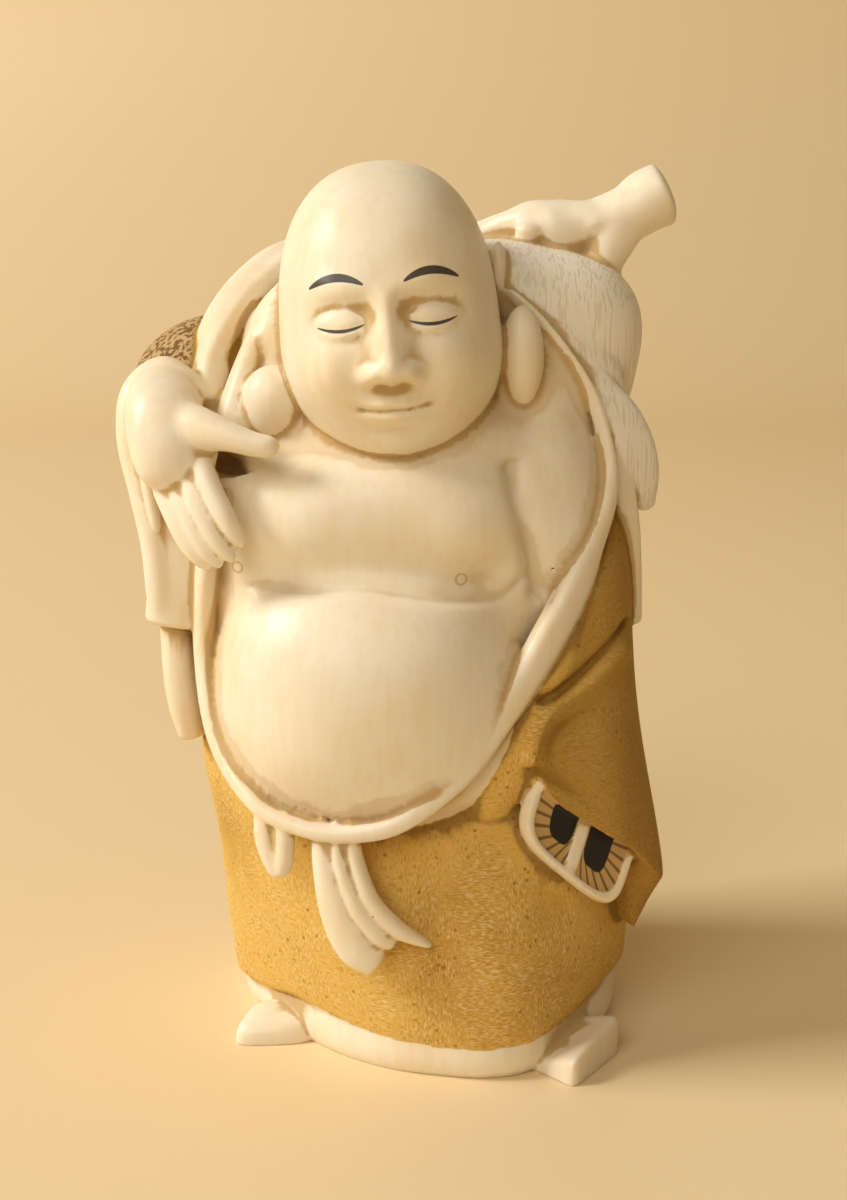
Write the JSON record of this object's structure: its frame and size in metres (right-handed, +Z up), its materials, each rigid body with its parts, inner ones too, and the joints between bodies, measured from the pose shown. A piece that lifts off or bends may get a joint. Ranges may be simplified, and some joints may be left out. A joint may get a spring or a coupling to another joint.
{
  "type": "hotei figure",
  "caption": "Small standing carved figure of a round-bellied laughing monk with a sack, a gnarled staff and a robe.",
  "frame": {"origin": "middle of the outer box on the table plane, under the figure", "axes": "+Z up, the figure faces -Y, +X is on the viewer's right when the figure is seen from the front"},
  "size_m": [0.0444, 0.0353, 0.0699],
  "materials": {
    "carved_ivory": "polished cream ivory look, with the outer robe stained brown and finely textured"
  },
  "bodies": {
    "root": {"hotei_figure": "carved_ivory"}
  },
  "joints": []
}
